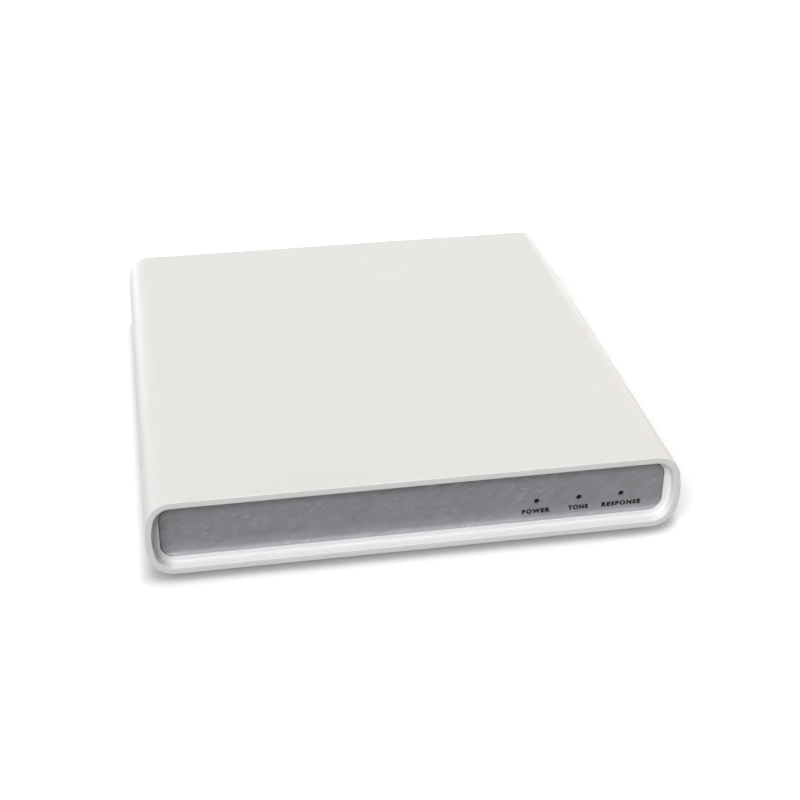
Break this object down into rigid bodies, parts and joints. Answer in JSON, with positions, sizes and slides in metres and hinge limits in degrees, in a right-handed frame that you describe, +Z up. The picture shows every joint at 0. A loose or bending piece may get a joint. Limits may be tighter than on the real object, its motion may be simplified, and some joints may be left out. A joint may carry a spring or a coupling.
{
  "type": "audiometer",
  "caption": "Slim white desktop audiometer with a recessed silver front panel, indicator lamps, and sockets and a rocker switch at the rear.",
  "frame": {"origin": "under the middle of the case, level with the lower faces of the feet", "axes": "+Z up, +Y from the front panel towards the rear sockets, +X to the right seen from the front"},
  "size_m": [0.2088, 0.2246, 0.0345],
  "materials": {
    "white_abs": "satin",
    "silver_panel": "satin",
    "smoked_acrylic": "gloss",
    "led_epoxy": "satin",
    "green_laminate": "satin",
    "black_nylon": "satin",
    "rocker_gloss": "satin",
    "tin_plate": "satin",
    "nickel_brass": "polished",
    "mould_compound": "matte",
    "relay_white": "satin",
    "ferrite": "matte",
    "black_aluminium": "satin",
    "zinc_steel": "satin",
    "capacitor_film": "satin",
    "grey_rubber": "matte"
  },
  "bodies": {
    "case": {"case_sleeve": "white_abs", "clock_crystal": "tin_plate", "data_link_chip": "mould_compound", "foot_front_left": "grey_rubber", "foot_front_right": "grey_rubber", "foot_rear_left": "grey_rubber", "foot_rear_right": "grey_rubber", "front_bezel": "white_abs", "front_panel": "silver_panel", "front_screw_1": "zinc_steel", "front_screw_2": "zinc_steel", "front_screw_3": "zinc_steel", "front_screw_4": "zinc_steel", "left_output_relay": "relay_white", "left_phone_jack": "black_nylon", "left_phone_jack_nut": "nickel_brass", "main_board": "green_laminate", "output_shield": "tin_plate", "power_led": "led_epoxy", "power_light_pipe": "smoked_acrylic", "rear_panel": "white_abs", "rear_screw_1": "zinc_steel", "rear_screw_2": "zinc_steel", "rear_screw_3": "zinc_steel", "rear_screw_4": "zinc_steel", "regulator_heat_sink": "black_aluminium", "response_jack": "black_nylon", "response_jack_nut": "nickel_brass", "response_led": "led_epoxy", "response_light_pipe": "smoked_acrylic", "right_output_relay": "relay_white", "right_phone_jack": "black_nylon", "right_phone_jack_nut": "nickel_brass", "signal_processor": "mould_compound", "supply_capacitor_1": "capacitor_film", "supply_capacitor_2": "capacitor_film", "supply_capacitor_3": "capacitor_film", "supply_inductor": "ferrite", "supply_inlet": "black_nylon", "supply_inlet_pin": "nickel_brass", "switch_housing": "black_nylon", "tone_converter": "mould_compound", "tone_led": "led_epoxy", "tone_light_pipe": "smoked_acrylic", "usb_insert": "black_nylon", "usb_shell": "tin_plate"},
    "rocker": {"power_rocker": "rocker_gloss"}
  },
  "joints": [
    {"name": "rocker_pivot", "type": "hinge", "parent": "case", "child": "rocker", "pos_m": [0.07204, 0.10665, 0.0202], "axis": [0, 0, 1], "range_deg": [0, 20]}
  ]
}
